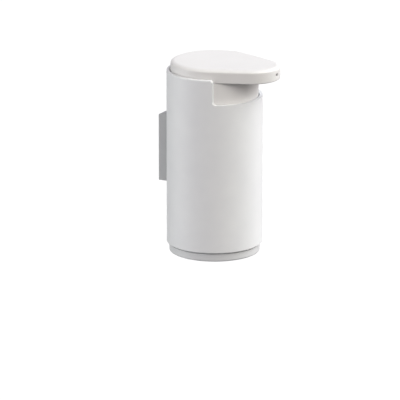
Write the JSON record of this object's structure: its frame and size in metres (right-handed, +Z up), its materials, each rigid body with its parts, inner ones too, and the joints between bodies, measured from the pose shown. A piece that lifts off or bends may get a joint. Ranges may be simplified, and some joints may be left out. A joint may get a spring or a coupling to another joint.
{
  "type": "wall mounted soap dispenser",
  "caption": "Round wall mounted soap dispenser: a metal sleeve with a front cut-out holds a lift-out pump bottle with a flat drop-shaped press head and spout.",
  "frame": {"origin": "centre of the wall plate's back face, in the plane of the wall", "axes": "+Z up, +Y into the wall, so the spout points along -Y and +X is to the right of a person who faces the wall"},
  "size_m": [0.07, 0.0919, 0.1434],
  "materials": {
    "white_coat": "fine matt white powder coat",
    "white_plastic": "satin moulded white plastic",
    "natural_plastic": "uncoloured, slightly translucent moulded plastic",
    "grey_rubber": "dull dark grey elastomer",
    "steel": "plain stainless steel"
  },
  "bodies": {
    "holder": {"wall_plate": "steel", "saddle": "white_coat", "sleeve": "white_coat", "base": "white_coat", "sleeve_screw_lower": "steel", "sleeve_screw_upper": "steel", "lock_screw": "steel"},
    "bottle": {"bottle": "white_plastic"},
    "pump": {"closure_cap": "white_plastic", "gasket": "grey_rubber", "pump_cylinder": "natural_plastic", "stem_guide": "white_plastic", "spring": "steel", "dip_tube": "natural_plastic"},
    "inlet_ball": {"inlet_ball": "steel"},
    "head": {"head_shell": "white_plastic", "spout_cover": "white_plastic", "head_core": "natural_plastic", "nozzle": "grey_rubber", "stem": "natural_plastic", "piston": "natural_plastic", "head_screw_1": "steel", "head_screw_2": "steel", "head_screw_3": "steel"},
    "outlet_ball": {"outlet_ball": "steel"}
  },
  "joints": [
    {"name": "bottle_lift", "type": "slide", "parent": "holder", "child": "bottle", "axis": [0, 0, 1], "range_m": [0, 0.14]},
    {"name": "pump_lift", "type": "slide", "parent": "bottle", "child": "pump", "axis": [0, 0, 1], "range_m": [0, 0.115]},
    {"name": "head_press", "type": "slide", "parent": "pump", "child": "head", "axis": [0, 0, -1], "range_m": [0, 0.012], "stiffness_N_per_m": 500, "springref_m": -0.016, "deforming": ["spring"]},
    {"name": "inlet_ball_lift", "type": "slide", "parent": "pump", "child": "inlet_ball", "axis": [0, 0, 1], "range_m": [0, 0.0015]},
    {"name": "outlet_ball_lift", "type": "slide", "parent": "head", "child": "outlet_ball", "axis": [0, 0, 1], "range_m": [0, 0.0035]}
  ]
}
